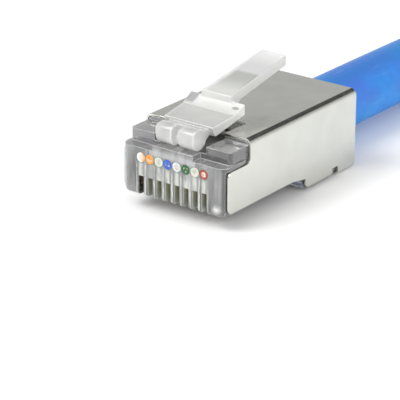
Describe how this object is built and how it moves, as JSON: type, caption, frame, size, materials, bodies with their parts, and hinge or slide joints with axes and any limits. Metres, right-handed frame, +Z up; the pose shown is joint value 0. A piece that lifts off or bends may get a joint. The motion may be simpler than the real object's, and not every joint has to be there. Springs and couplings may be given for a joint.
{
  "type": "shielded modular plug",
  "caption": "Clear modular plug with a folded metal shield, a springy latch lever, gold contact blades and a short round blue cable.",
  "frame": {"origin": "under the middle of the plug, on the level of the folded tail flaps that it stands on (cable left out)", "axes": "+Z up, the side of the latch; -Y along the nose, the way the plug goes into a jack; +X to the last wire of the row"},
  "size_m": [0.012, 0.0631, 0.0119],
  "materials": {
    "clear_polycarbonate": "clear, polished",
    "nickel_plate": "satin nickel plate on a folded sheet",
    "gold_plate": "gold plate over nickel",
    "copper": "bare copper",
    "blue_pvc": "satin PVC jacket",
    "foil": "bright foil",
    "tinned_copper": "tinned",
    "insulation_white_orange": "satin polyethylene",
    "insulation_orange": "satin polyethylene",
    "insulation_white_green": "satin polyethylene",
    "insulation_blue": "satin polyethylene",
    "insulation_white_blue": "satin polyethylene",
    "insulation_green": "satin polyethylene",
    "insulation_white_brown": "satin polyethylene",
    "insulation_brown": "satin polyethylene"
  },
  "bodies": {
    "plug": {"housing": "clear_polycarbonate", "shield": "nickel_plate", "contact_1": "gold_plate", "contact_2": "gold_plate", "contact_3": "gold_plate", "contact_4": "gold_plate", "contact_5": "gold_plate", "contact_6": "gold_plate", "contact_7": "gold_plate", "contact_8": "gold_plate", "conductor_1": "copper", "conductor_2": "copper", "conductor_3": "copper", "conductor_4": "copper", "conductor_5": "copper", "conductor_6": "copper", "conductor_7": "copper", "conductor_8": "copper", "insulation_1": "insulation_white_orange", "insulation_2": "insulation_orange", "insulation_3": "insulation_white_green", "insulation_4": "insulation_blue", "insulation_5": "insulation_white_blue", "insulation_6": "insulation_green", "insulation_7": "insulation_white_brown", "insulation_8": "insulation_brown", "cable_jacket": "blue_pvc", "cable_screen": "foil", "drain_wire": "tinned_copper"},
    "latch": {"latch": "clear_polycarbonate"}
  },
  "joints": [
    {"name": "latch_flex", "type": "hinge", "parent": "plug", "child": "latch", "pos_m": [0, -0.0092, 0.0078], "axis": [-1, 0, 0], "range_deg": [0, 7], "stiffness_Nm_per_rad": 0.35}
  ]
}
